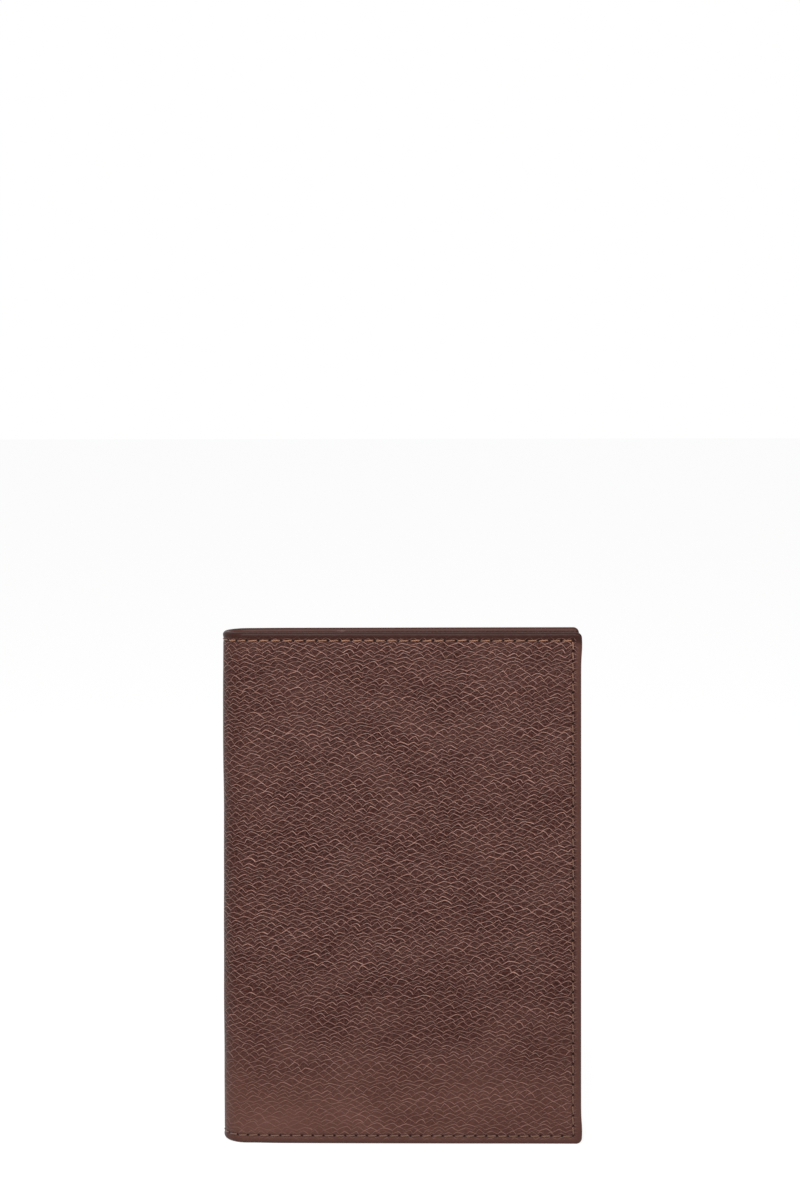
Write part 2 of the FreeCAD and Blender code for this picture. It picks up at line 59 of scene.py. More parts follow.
class Wire:
    """One shader socket as a number: each operator on it adds a Math node."""

    def __init__(self, tree, socket):
        self.tree, self.socket = tree, socket

    def math(self, operation, first, second=None):
        return self.tree.node("Math", {"operation": operation}, {0: first, 1: second})

    def __add__(self, other): return self.math("ADD", self, other)
    def __radd__(self, other): return self.math("ADD", other, self)
    def __sub__(self, other): return self.math("SUBTRACT", self, other)
    def __rsub__(self, other): return self.math("SUBTRACT", other, self)
    def __mul__(self, other): return self.math("MULTIPLY", self, other)
    def __rmul__(self, other): return self.math("MULTIPLY", other, self)
    def __truediv__(self, other): return self.math("DIVIDE", self, other)
    def __rtruediv__(self, other): return self.math("DIVIDE", other, self)
    def __pow__(self, other): return self.math("POWER", self, other)
    def __rpow__(self, other): return self.math("POWER", other, self)
    def __abs__(self): return self.math("ABSOLUTE", self)
    def fract(self): return self.math("FRACT", self)
    def floor(self): return self.math("FLOOR", self)
    def sine(self): return self.math("SINE", self)
    def root(self): return self.math("SQRT", self)
    def most(self, other): return self.math("MAXIMUM", self, other)

    def ramp(self, low, high, start=0.0, end=1.0):
        """Smooth step: start while the number is under low, end once it is over high."""
        return self.tree.node(
            "MapRange", {"interpolation_type": "SMOOTHSTEP"},
            {"Value": self, "From Min": low, "From Max": high, "To Min": start, "To Max": end},
        )


class Finish:
    """The node tree of one material or of the room."""

    def __init__(self, owner):
        owner.use_nodes = True
        self.nodes, self.links = owner.node_tree.nodes, owner.node_tree.links
        self.nodes.clear()

    def node(self, kind, settings=None, sockets=None, out=0):
        """Adds a node: settings first, then each socket's value or link. Gives one output."""
        made = self.nodes.new("ShaderNode" + kind)
        for name, setting in (settings or {}).items():
            setattr(made, name, setting)
        for name, value in (sockets or {}).items():
            if value is None:
                continue
            if isinstance(value, Wire):
                self.links.new(value.socket, made.inputs[name])
            else:
                made.inputs[name].default_value = value
        return Wire(self, made.outputs[out])

    def blend(self, factor, first, second):
        """Colour between first and second, by a factor from 0 to 1."""
        return self.node(
            "Mix", {"data_type": "RGBA"}, {0: factor, 6: first, 7: second}, out=2
        )

    def attribute(self, name):
        """A number that the mesh keeps for each of its points."""
        return self.node("Attribute", {"attribute_name": name}, out=2)

    def split(self, vector):
        """The three coordinates of a vector."""
        first = self.node("SeparateXYZ", sockets={0: vector})
        return [Wire(self, coordinate) for coordinate in first.socket.node.outputs]

    def place(self):
        """Where the surface is, in the object's own metres."""
        return self.node("TexCoord", out="Object")

    def flat_place(self):
        """Where the surface lies on its flat pattern: the first two coordinates of its UV map."""
        return self.split(self.node("UVMap", {"uv_map": "cut"}))[:2]

    def output(self, shader, kind="OutputMaterial"):
        """Ends the tree in that shader."""
        end = self.nodes.new("ShaderNode" + kind)
        self.links.new(shader.socket, end.inputs["Surface"])


room_light = 0.50  # strength of the room for light that is not seen directly
floor_glow = 0.72  # share of the floor's own light where it is seen directly
floor_strength = 1.19
floor_half = 6.0
white = (1, 1, 1, 1)

room = bpy.data.worlds.new("room")
bpy.context.scene.world = room
air = Finish(room)


def seen_directly(tree):
    """1 for rays that come from the camera, a mirror-like surface or glass, else 0."""
    rays = [tree.node("LightPath", out=name) for name in
            ("Is Camera Ray", "Is Glossy Ray", "Is Transmission Ray")]
    return rays[0].most(rays[1]).most(rays[2])


seen = seen_directly(air)
air.output(air.node("Background", sockets={
    "Color": white, "Strength": seen.ramp(0, 1, room_light, 1)}), "OutputWorld")

floor_mesh = bpy.data.meshes.new("floor")
floor_mesh.from_pydata(
    [(-floor_half, -floor_half, 0), (floor_half, -floor_half, 0),
     (floor_half, floor_half, 0), (-floor_half, floor_half, 0)], [], [(0, 1, 2, 3)])
floor = bpy.data.objects.new("floor", floor_mesh)
bpy.context.scene.collection.objects.link(floor)
floor_finish = bpy.data.materials.new("floor")
ground = Finish(floor_finish)
ground.output(ground.node("MixShader", sockets={
    0: seen_directly(ground) * floor_glow,
    1: ground.node("BsdfDiffuse", sockets={"Color": (0.8, 0.8, 0.8, 1)}),
    2: ground.node("Emission", sockets={"Color": white, "Strength": floor_strength}),
}))
floor_mesh.materials.append(floor_finish)


def soft_lamp(name, place, target, width, watts):
    """A square area lamp of that width at place, turned to face target."""
    light = bpy.data.lights.new(name, "AREA")
    light.size, light.energy = width, watts
    lamp = bpy.data.objects.new(name, light)
    lamp.location = place
    lamp.rotation_euler = (Vector(target) - Vector(place)).to_track_quat("-Z", "Y").to_euler()
    bpy.context.scene.collection.objects.link(lamp)


holder_middle = (0.0, 0.0, 0.07)
soft_lamp("high_lamp", (-0.12, -0.72, 0.85), holder_middle, width=0.45, watts=10.4)
soft_lamp("side_lamp", (1.1, -0.9, 0.4), holder_middle, width=0.9, watts=3.0)

# ------------------------------------------------------------------------------------------------
# Camera
# It stands three quarters of a metre in front of the holder and a little above its top, so that
# the back cover's upper edge just shows. The shift puts the holder in the frame's lower half.
# ------------------------------------------------------------------------------------------------

camera_data = bpy.data.cameras.new("camera")
camera_data.lens = 83.42
camera_data.sensor_width = 36.0
camera_data.shift_y = -0.1495
camera = bpy.data.objects.new("camera", camera_data)
camera.location = (0.0030, -0.7773, 0.222)
tilt_down, roll, turn_left = 1.5, 0.09, 0.24  # degrees
camera.rotation_euler = [math.radians(angle) for angle in (90 - tilt_down, roll, turn_left)]
bpy.context.scene.collection.objects.link(camera)
bpy.context.scene.camera = camera
bpy.context.scene.view_settings.view_transform = "Standard"

# ------------------------------------------------------------------------------------------------
# Covers
# One sheet of grained leather wraps each stiffened cover, is skived along its margin, folded over
# the board's three free edges and glued down. It is sewn along those, 2.3 mm in from the edge.
# ------------------------------------------------------------------------------------------------

# millimetres, as the sheets are cut
height, cover_width = 143.0, 93.0
spine_radius = 7.0
half_open = math.radians(0.6)
strip_count, middle_strip = 7, 4
leather, board, hem = 1.0, 0.4, 0.5
edge_depth = leather + board + hem
hem_width = 9.0
seam_margin = 2.3
flat_inset = 3.6  # from the edge to where the leather starts to follow the seam
spine_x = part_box(f"spine_leather_{middle_strip}")[0].x * 1000 + spine_radius
fold_u = spine_radius * (math.pi / 2 - half_open)
strip_arc = 2 * fold_u / strip_count

# stitches along the upper edge, the lower edge and the fore-edge of a cover
upper_count, lower_count, side_count = 28, 30, 48
seam_length = cover_width - seam_margin
upper_pitch, lower_pitch = seam_length / upper_count, seam_length / lower_count
side_pitch = (height - 2 * seam_margin) / side_count

# where each flat pattern starts in the UV map, which keeps its numbers above zero
pattern_x, pattern_z = 150, 20
panel_pattern_x = 300


def stand(u, z, depth):
    """Flat pattern to the standing holder, in metres.

    u runs along the outer face from the middle of the spine, over the front cover if positive. Up
    to the fold line a point lies on a circle round the spine's axis at radius less depth, and past
    it on the circle's tangent. z is the height, and depth goes inwards from the outer face.
    """
    arc = np.minimum(np.abs(u), fold_u) / spine_radius
    over = np.maximum(np.abs(u) - fold_u, 0)
    radius = spine_radius - depth
    x = spine_x - radius * np.cos(arc) + over * np.sin(arc)
    y = radius * np.sin(arc) + over * np.cos(arc)
    return np.stack(np.broadcast_arrays(x, -np.sign(u) * y, z), -1) / 1000


def piece_of(name, points, faces, cut, finish):
    """An object at the origin: points in metres, faces, each point's flat place, and a finish."""
    mesh = bpy.data.meshes.new(name)
    mesh.from_pydata(points.reshape(-1, 3), [], faces)
    flat = mesh.uv_layers.new(name="cut")
    flat.data.foreach_set("uv", cut.reshape(-1, 2)[faces.ravel()].astype(np.float32).ravel())
    mesh.shade_smooth()
    mesh.materials.append(finish)
    piece = bpy.data.objects.new(name, mesh)
    bpy.context.scene.collection.objects.link(piece)
    return piece


def surface(name, points, cut, finish, inwards=False, **masks):
    """A piece from a grid of points: rows go up, columns along u, and four neighbours make a face.

    cut is each point's place on the flat leather in mm, kept as the UV map. Each mask is a number
    for every point, kept as an attribute. inwards turns the faces towards the holder's inside.
    """
    rows, columns = points.shape[:2]
    grid = np.arange(rows * columns).reshape(rows, columns)
    corners = [grid[:-1, :-1], grid[:-1, 1:], grid[1:, 1:], grid[1:, :-1]]
    faces = np.stack(corners[::-1] if inwards else corners, -1).reshape(-1, 4)
    piece = piece_of(name, points, faces, cut / 1000, finish)
    for mask, values in masks.items():
        values = np.broadcast_to(values, (rows, columns))
        piece.data.attributes.new(mask, "FLOAT", "POINT").data.foreach_set(
            "value", values.astype(np.float32).ravel())
    return piece


chance = np.random.default_rng(7)
wave_count = 9
wave_length = chance.uniform(22, 70, wave_count)
wave_turn = chance.uniform(0, math.pi, wave_count)
wave_start = chance.uniform(0, 2 * math.pi, wave_count)
wave_gain = 1.6


def sway(u, z):
    """Slow unevenness of a sheet, about -1 to 1: the mean of plane waves, times wave_gain."""
    total = 0
    for length, turn, start in zip(wave_length, wave_turn, wave_start):
        along = u * math.cos(turn) + z * math.sin(turn)
        total = total + np.sin(2 * math.pi * along / length + start)
    return total / wave_count * wave_gain


def turned_profile():
    """Rings of the turned edge as distance in from the edge, depth, and which way it faces.

    They run flat across the seam, round a half circle as deep as the edge, back over the hem and
    down its cut end. The side is 1 on the outer face, -1 on the hem and the cosine in between.
    """
    half = edge_depth / 2
    turn = np.linspace(0, math.pi, 13)
    outer = np.linspace(flat_inset, half, 9)[:-1]
    under = np.linspace(half, hem_width, 18)[1:]
    raw_in, raw_down = np.array([[0.06, 0.05], [0.1, 0.16], [0.1, 0.42], [-0.2, 0.47]]).T
    inset = np.r_[outer, half * (1 - np.sin(turn)), under, hem_width + raw_in]
    depth = np.r_[0 * outer, half * (1 - np.cos(turn)), 0 * under + edge_depth,
                  edge_depth - raw_down]
    side = np.r_[1 + 0 * outer, np.cos(turn), 0 * under - 1, 0 * raw_in - 1]
    return inset, depth, side


ring_inset, ring_depth, ring_side = turned_profile()
ring_steps = np.hypot(np.diff(ring_inset), np.diff(ring_depth))
ring_cut = np.r_[0, np.cumsum(ring_steps)]  # leather used from the flat part outwards


def framed(count, rings, free_low):
    """Places along one side of a sheet: share of the flat part, ring number, and side -1, 0, 1."""
    share = np.linspace(0, 1, count)
    last = np.arange(1, rings + 1)
    ring = np.r_[last[::-1] if free_low else [], np.zeros(count), last].astype(int)
    side = np.r_[-np.ones(rings) if free_low else [], np.zeros(count), np.ones(rings)]
    share = np.r_[np.zeros(rings) if free_low else [], share, np.ones(rings)]
    return share, ring, side


def tray(x_range, z_range, counts, inset, cut, corner, free_fold=False):
    """A sheet whose margin is divided into nested rings, each inset[k] in from the sheet's edge.

    The point's ring is the larger of its two ring numbers. A ring's straight sides keep their
    share of the flat part, and its corner squares are filled evenly. Corners are rounded to a
    radius of corner less the inset. Gives x, z, the ring, and the place on the flat leather.
    """
    rings = len(inset) - 1
    share_x, ring_x, side_x = framed(counts[0], rings, free_fold)
    share_z, ring_z, side_z = framed(counts[1], rings, True)
    ring = np.maximum(ring_x[None, :], ring_z[:, None])
    block = np.maximum.accumulate(inset[0] - inset)[ring]
    beyond = cut[ring]
    rounding = np.clip(corner - inset[ring], 0, None)

    def place(span, share, own, side, free_low):
        low = span[0] + (inset[ring] if free_low else 0)
        high = span[1] - inset[ring]
        inner_low, inner_high = low + (block if free_low else 0), high - block
        flat_low, flat_high = span[0] + (inset[0] if free_low else 0), span[1] - inset[0]
        part = own / np.maximum(ring, 1)
        spot = inner_low + share * (inner_high - inner_low) + side * block * part
        laid = flat_low + share * (flat_high - flat_low) + side * beyond * part
        return spot, laid, low, high

    x, cut_x, x_low, x_high = place(
        x_range, share_x[None, :], ring_x[None, :], side_x[None, :], free_fold)
    z, cut_z, z_low, z_high = place(
        z_range, share_z[:, None], ring_z[:, None], side_z[:, None], True)
    z_over = np.abs(z - (z_low + z_high) / 2) - ((z_high - z_low) / 2 - rounding)
    for sign, limit in ((1, x_high), (-1, x_low)):
        if sign < 0 and not free_fold:
            continue
        x_over = sign * (x - limit) + rounding
        bend = (x_over > 0) & (z_over > 0)
        scale = np.where(bend, rounding / np.maximum(np.hypot(x_over, z_over), 1e-9), 1)
        scale = np.minimum(scale, 1)
        x = np.where(bend, x - sign * x_over * (1 - scale), x)
        z = np.where(bend, z - np.sign(z - (z_low + z_high) / 2) * z_over * (1 - scale), z)
    return x, z, ring, np.stack([cut_x, cut_z], -1)


def seam_place(x, z):
    """A point of a cover by its nearest seam: holes counted along it, and mm inside it."""
    gaps = np.stack([z - seam_margin, height - seam_margin - z, seam_length - x])
    holes = np.stack(np.broadcast_arrays(
        x / lower_pitch, x / upper_pitch, (z - seam_margin) / side_pitch))
    nearest = np.argmin(gaps, 0)[None]
    return np.take_along_axis(holes, nearest, 0)[0], np.take_along_axis(gaps, nearest, 0)[0]


def seam_dent(hole, gap):
    """How far a seam pulls the leather in, in mm: a furrow, deepest at the needle holes.

    A bell across the seam times a wave along it, less a low swelling between seam and edge.
    """
    furrow_depth, swelling, half_width, swelling_place = 0.20, 0.06, 0.6, -1.25
    at_hole = np.cos(2 * math.pi * hole)
    furrow = furrow_depth * np.exp(-(gap / half_width) ** 2) * (1 + 0.45 * at_hole)
    swell = swelling * np.exp(-((gap - swelling_place) / half_width) ** 2) * (1 - 0.5 * at_hole)
    return furrow - swell


def pulled(u, z):
    """Height after the turned edge has drawn the spine in: a bell in u, in share with height."""
    centre, pull, reach = height / 2, 0.12, 8.5
    return centre + (z - centre) * (1 - pull * np.exp(-(u / reach) ** 2) / centre)


def softened(u, z):
    """Depth in mm of the outer face below its flat pattern: a bell beside the fold, and a sway."""
    fold_depth, fold_place, fold_reach, sway_depth = 0.30, 1.5, 4.5, 0.11
    fold = fold_depth * np.exp(-((np.abs(u) - fold_u - fold_place) / fold_reach) ** 2)
    return fold + sway_depth * sway(u, z)


def soft_step(x):
    """Smooth step from 0 at 0 to 1 at 1: three times the square less twice the cube."""
    x = np.clip(x, 0, 1)
    return x * x * (3 - 2 * x)


def grain_amount(u, z):
    """1 where the grain stands up, less where the leather is drawn flat at folds, and less low
    down.
    Low down this is painted light: the covers' colour turns lighter and their grain fainter there,
    standing for light from the floor.

    It rises from 0.45 over the lower 64 mm, and a bell each takes from it at the lower end of the
    fold and along the bend. A sway makes it uneven.
    """
    low = 0.45 + 0.55 * soft_step((z - 2) / 62)
    smooth_patch = np.exp(-((np.abs(u) - fold_u - 8) / 22) ** 2 - ((z - 4) / 9) ** 2)
    bend = 0.22 * np.exp(-((np.abs(u) - 6.5) / 4.5) ** 2)
    uneven = 1 + 0.12 * sway(u * 2.3, z * 2.3 + 11)
    return low * (1 - 0.55 * smooth_patch) * (1 - bend) * uneven


# Near-black painted shade for the inside of the needle holes.
hole_shadow = (0.012, 0.006, 0.005, 1)
pressed_and_lit_gain = (2.00, 3.45, 4.15, 1)  # how much lighter the colour is where the grain is weak: the pressed grain's own tone, and painted light low down and on the top's turned edge


def leather_finish(name, dark, body_colour, light, cell, lift, gloss):
    """Grained leather: rows of fine raised creases, bowed like laid scales, over hollows. The
    creases are painted lighter, partly as the grain's own two-tone colour and partly as painted
    highlight on their tops, and just below each crease the leather is painted darker as painted
    shadow.

    cell is a crease's width and the rows' spacing in mm, and lift the creases' height in mm. The
    attributes grain, hole and gap say how strong the grain is and where the seam's holes and
    furrow are.
    """
    material = bpy.data.materials.new(name)
    tree = Finish(material)
    x, z = (coordinate * 1000 for coordinate in tree.flat_place())
    amount = tree.attribute("grain")
    hole, gap = tree.attribute("hole"), tree.attribute("gap")

    def point(across, up, level=0.0):
        """A vector from its three coordinates."""
        return tree.node("CombineXYZ", sockets={0: across, 1: up, 2: level})

    def noise(across, up, detail=2.0, level=0.0):
        """Smooth noise from 0 to 1 that changes over about one unit. level picks another one."""
        return tree.node("TexNoise", sockets={
            "Vector": point(across, up, level), "Scale": 1.0, "Detail": detail})

    def lottery(across, up, level):
        """A random number for each whole pair of numbers."""
        return tree.node("TexWhiteNoise", sockets={"Vector": point(across, up, level)})

    wide, tall = cell
    smooth = tuple(part * gain for part, gain in zip(body_colour, pressed_and_lit_gain))
    swing = noise(x / 17.0, z / 11.0, 1.0) - 0.5
    drift_x = noise(x / 4.4, z / 2.6, 0.0, 4.1) - 0.5
    drift_z = noise(x / 4.0, z / 2.6, 0.0, 7.3) - 0.5
    across = x / wide + drift_x * 0.4 + swing * 0.8
    up = z / tall + drift_z * 0.7 + swing * 1.6
    row_start, bow_power = 0.18, 1.35

    def bowed_rows(shift):
        """Every second row of creases: each is a chain of bows, like the edges of laid scales.

        The crease's height in its row is row_start plus a bow: one less the share of the half
        width to the power of bow_power, times a random height. A bow's width, place and peak are
        random too. Gives mm above the crease, and its strength.
        """
        level = (up + shift) / 2.0
        row = level.floor()
        pace = 0.78 + 0.44 * lottery(row, shift, 8.0)
        spot = across * pace + lottery(row, shift * 9.0, 0.3) * 7
        number = spot.floor()
        peak = 0.34 + 0.32 * lottery(number, row, 3.0 + shift)
        part = spot.fract()
        half = ((part - peak) / (1 - peak)).most((peak - part) / peak)
        bow = (1 - half ** bow_power) * (0.30 + 0.24 * lottery(number, row, 1.0 + shift))
        above = (level.fract() - row_start - bow) * (2.0 * tall)
        return above, 0.45 + 0.55 * lottery(number, row, 5.0 + shift)

    first, first_strength = bowed_rows(0.0)
    second, second_strength = bowed_rows(1.0)

    def welt(above, width):
        """1 on the line and 0 from width mm away."""
        return abs(above).ramp(0.0, width, 1.0, 0.0)

    crease_width, shaded_hollow_place, shaded_hollow_width = 0.145, 0.36, 0.4
    patchy = noise(x / 2.1, z / 1.3, 2.0, 5.0).ramp(0.25, 0.5, 0.6, 1.0)
    first_line = welt(first, crease_width) * first_strength
    net = first_line.most(welt(second, crease_width) * second_strength) * patchy
    line = net * amount
    crack = tree.node(
        "TexVoronoi", {"feature": "DISTANCE_TO_EDGE", "voronoi_dimensions": "2D"},
        {"Vector": point(across * 1.9, up * 1.15), "Scale": 1.0, "Randomness": 0.9},
    ).ramp(0.0, 0.12, 1.0, 0.0)
    shade = welt(first + shaded_hollow_place, shaded_hollow_width).most(
        welt(second + shaded_hollow_place, shaded_hollow_width))
    blotch = noise(x / 14.0, z / 10.0, 3.0, 3.1)
    speck = noise(x / 0.34, z / 0.28, 2.0, 1.7)
    vary = noise(x / 1.1, z / 0.8, 2.0, 5.0)

    hole_pitch, hole_radius, hole_rim = 3.0, 0.14, 0.36
    along = ((hole + 0.5).fract() - 0.5) * hole_pitch
    reach = (along * along + gap * gap).root()
    pricked = reach.ramp(hole_radius, hole_rim, 1.0, 0.0)
    furrow = abs(gap).ramp(0.15, 0.75, 1.0, 0.0)
    # Painted shade: the margin between seam and edge is painted darker, a little all round and
    # most along the top edge.
    margin = gap.ramp(-0.9, -0.3, 1.0, 0.0)
    stood_z = tree.split(tree.place())[2] * 1000
    margin_shade = stood_z.ramp(height - 4.0, height - 2.2, 0.3, 0.8)
    # Painted highlight: the leather turned over the top edge is painted in the lighter smooth
    # tone, as if lit from above.
    past_top = height + pattern_z
    top_edge_highlight = z.ramp(past_top + 0.8, past_top + 1.8, 0.0, 0.75)

    tint = tree.blend(vary.ramp(0.3, 0.7, 0.2, 1.0), dark, body_colour)
    # Painted shadow: the leather just below each crease is painted darker, as shade under the
    # crease lit from above.
    tint = tree.blend(shade * amount * 0.9, tint, dark)
    # Towards the lighter smooth tone where the grain is weak: partly the pressed leather's own
    # tone, partly painted light from the floor on the lower covers.
    tint = tree.blend(amount.ramp(0.1, 0.85, 0.9, 0.0), tint, smooth)
    # The creases are painted lighter: partly the grain's two-tone colour, partly painted highlight
    # on their tops.
    tint = tree.blend(line, tint, light)
    tint = tree.blend(crack * amount * 0.10, tint, light)
    tint = tree.blend(blotch.ramp(0.35, 0.7, 0.0, 0.03), tint, light)
    tint = tree.blend(speck.ramp(0.62, 0.8) * 0.2, tint, light)
    # Painted shade on the margin, strongest along the top.
    tint = tree.blend(margin * margin_shade, tint, dark)
    # Painted highlight on the turned top edge.
    tint = tree.blend(top_edge_highlight, tint, smooth)
    # Painted shade: the seam's furrow is painted darker.
    tint = tree.blend(furrow * 0.35, tint, dark)
    # Painted shade: the needle holes are painted near-black.
    tint = tree.blend(pricked * 0.9, tint, hole_shadow)

    bumps = (net * lift - shade * (lift * 0.5) + crack * (lift * 0.25)) * amount
    bumps = bumps + speck * 0.012 + vary * 0.03 - pricked * 0.25
    normal = tree.node("Bump", sockets={"Height": bumps, "Distance": 0.001, "Strength": 1.0})
    rough = blotch.ramp(0.3, 0.7, gloss - 0.04, gloss + 0.05) - line * 0.06 + pricked * 0.3
    tree.output(tree.node("BsdfPrincipled", sockets={
        "Base Color": tint, "Roughness": rough, "Normal": normal, "Specular IOR Level": 0.11,
    }))
    return material


cover_finish = leather_finish(
    "grained_leather", (0.017, 0.0032, 0.0021, 1), (0.048, 0.0116, 0.0074, 1),
    (0.52, 0.285, 0.235, 1), cell=(3.5, 1.06), lift=0.16, gloss=0.46)

column_count, row_count = 181, 273
corner_radius = 1.5
hem_grain = 0.35  # share of the grain that is left on the pressed hem
bulk_out, bulk_place, bulk_width, bulk_reach = 0.28, 3.4, 3.6, 2.6
pleat_depth, pleat_centre, pleat_reach, pleat_turns = 0.07, 3, 3.2, 17


def skin_grain(u, z, gap, face):
    """Grain of the outer leather: it fades out past the seam and is weaker on the hem."""
    off_edge = np.clip(gap / 1.4 + 1.0, 0, 1)
    return grain_amount(u, z) * off_edge * np.where(face < 0, hem_grain, 1)


def cover_skin(side, sign):
    """Skin of one cover: the tray of its turned sheet, dented along the seams and stood up.

    At the two outer corners the folded leather bulks out as a bell, and its pleats are a sine of
    the angle round the corner.
    """
    x, z, ring, cut = tray((0, cover_width), (0, height), (column_count, row_count),
                           ring_inset, ring_cut, corner_radius)
    hole, gap = seam_place(x, z)
    face = ring_side[ring]
    u = sign * (fold_u + x)
    near_end = np.exp(-((cover_width - x) / bulk_reach) ** 2)
    from_bulk = np.minimum(np.abs(z - bulk_place), np.abs(height - bulk_place - z))
    bulk = bulk_out * near_end * np.exp(-(from_bulk / bulk_width) ** 2)
    end_z = np.minimum(z, height - z)
    round_corner = np.arctan2(cover_width - pleat_centre - x, end_z - pleat_centre)
    corner = np.exp(-(np.hypot(cover_width - x, end_z) / pleat_reach) ** 2)
    pleat = pleat_depth * corner * np.sin(pleat_turns * round_corner) * (ring > 3)
    depth = ring_depth[ring] + face * (seam_dent(hole, gap) + pleat) + softened(u, z)
    points = stand(u + sign * bulk, pulled(u, z), depth)
    cut = np.stack([sign * (fold_u + cut[..., 0]) + pattern_x, cut[..., 1] + pattern_z], -1)
    order = slice(None, None, sign)
    amount = skin_grain(u, z, gap, face)
    skin = surface(
        f"{side}_cover_skin", points[:, order], cut[:, order], cover_finish,
        grain=amount[:, order], hole=hole[:, order], gap=gap[:, order])
    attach(skin, f"{side}_cover")
    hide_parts(f"{side}_cover_leather")


for side, sign in (("front", 1), ("back", -1)):
    cover_skin(side, sign)

# ------------------------------------------------------------------------------------------------
# Spine
# The same leather runs round the spine from cover to cover over a soft interlining, with its hem
# turned in at both ends. Each piece reaches from the middle of one strip to that of the next.
# ------------------------------------------------------------------------------------------------

spine_steps = 20


def column_heights():
    """Height, depth, facing and flat place of each row up the turned sheet, with both its hems."""
    flat_share, edge_ring, edge_side = framed(row_count, len(ring_inset) - 1, True)
    inner = flat_inset + flat_share * (height - 2 * flat_inset)
    z = inner + edge_side * (flat_inset - ring_inset[edge_ring])
    laid = inner + edge_side * ring_cut[edge_ring]
    return z, ring_depth[edge_ring], ring_side[edge_ring], laid


def spine_skin(name, start, end):
    """Skin of the spine between two places along u, from the lower hem round to the upper one."""
    z, depth, face, laid = (row[:, None] for row in column_heights())
    u = np.linspace(start, end, spine_steps + 1)[None, :]
    hole = u / strip_arc + 0.5 + 0 * z
    gap = np.minimum(z - seam_margin, height - seam_margin - z) + 0 * u
    depth = depth + face * seam_dent(hole, gap) + softened(u, z)
    cut = np.stack(np.broadcast_arrays(u + pattern_x, laid + pattern_z), -1)
    return surface(name, stand(u + 0 * z, pulled(u, z), depth), cut, cover_finish,
                   grain=skin_grain(u, z, gap, face), hole=hole, gap=gap)


def spine_spans():
    """The pieces of the spine as name, start and end along u, and the strips that each follows."""
    spans = []
    steps = strip_count - middle_strip
    for side, sign in (("front", 1), ("back", -1)):
        for step in range(steps):
            strips = (middle_strip + sign * step, middle_strip + sign * (step + 1))
            spans.append((f"{side}_{step + 1}", sign * step * strip_arc,
                          sign * (step + 1) * strip_arc, strips))
        spans.append((f"{side}_{steps + 1}", sign * steps * strip_arc, sign * fold_u,
                      (middle_strip + sign * steps,)))
    return spans


def follow_strips(piece, start, end, strips):
    """Rides the piece on its one strip. A piece between two strips is only baked where it stands,
    and not bent.
    """
    if len(strips) == 1:
        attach(piece, f"spine_{strips[0]}")
        return
    ends = [stand(np.array(u), np.array(height / 2), np.array(0.0)) for u in (start, end)]
    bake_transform(piece)


for name, start, end, strips in spine_spans():
    skin = spine_skin(f"spine_skin_{name}", min(start, end), max(start, end))
    follow_strips(skin, start, end, strips)
    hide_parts(*(f"spine_leather_{k}" for k in strips))

# ------------------------------------------------------------------------------------------------
# Outer seams
# A waxed polyester thread in lockstitch, twisted from three plies. Each stitch comes out of one
# needle hole, lies a little slantwise in the furrow and goes down into the next.
# ------------------------------------------------------------------------------------------------

thread_radius = 0.18
ply_length = 0.55
stitch_low = 0.62  # depth of a stitch's ends, in the needle holes
stitch_rings, stitch_sides = 9, 8


def thread_finish(name, dark, light):
    """Twisted thread: bands wind round it, with dark lines between the plies.

    It is painted duller below the upper seams, as painted shade: less light from above reaches it.
    """
    material = bpy.data.materials.new(name)
    tree = Finish(material)
    along, round_it = tree.flat_place()
    ply = abs(((along * 1000 / ply_length + round_it * 2.0).fract() - 0.5) * 2)
    # Painted shade: the thread is painted duller below the upper seams, as if less lit from above.
    top_lit = tree.split(tree.place())[2].ramp(
        (height - 11) / 1000, (height - 2) / 1000, 0.45, 1.0)
    vary = tree.node("TexNoise", sockets={
        "Vector": tree.place(), "Scale": 420.0, "Detail": 2.0})
    lit = ply.ramp(0.55, 0.95, 1.0, 0.0) * vary.ramp(0.3, 0.65, 0.55, 1.0) * top_lit
    tint = tree.blend(lit, dark, light)
    bump = tree.node("Bump", sockets={"Height": ply * -0.05, "Distance": 0.001})
    tree.output(tree.node("BsdfPrincipled", sockets={
        "Base Color": tint, "Roughness": 0.55, "Normal": bump, "Specular IOR Level": 0.35,
        "Sheen Weight": 0.15,
    }))
    return material


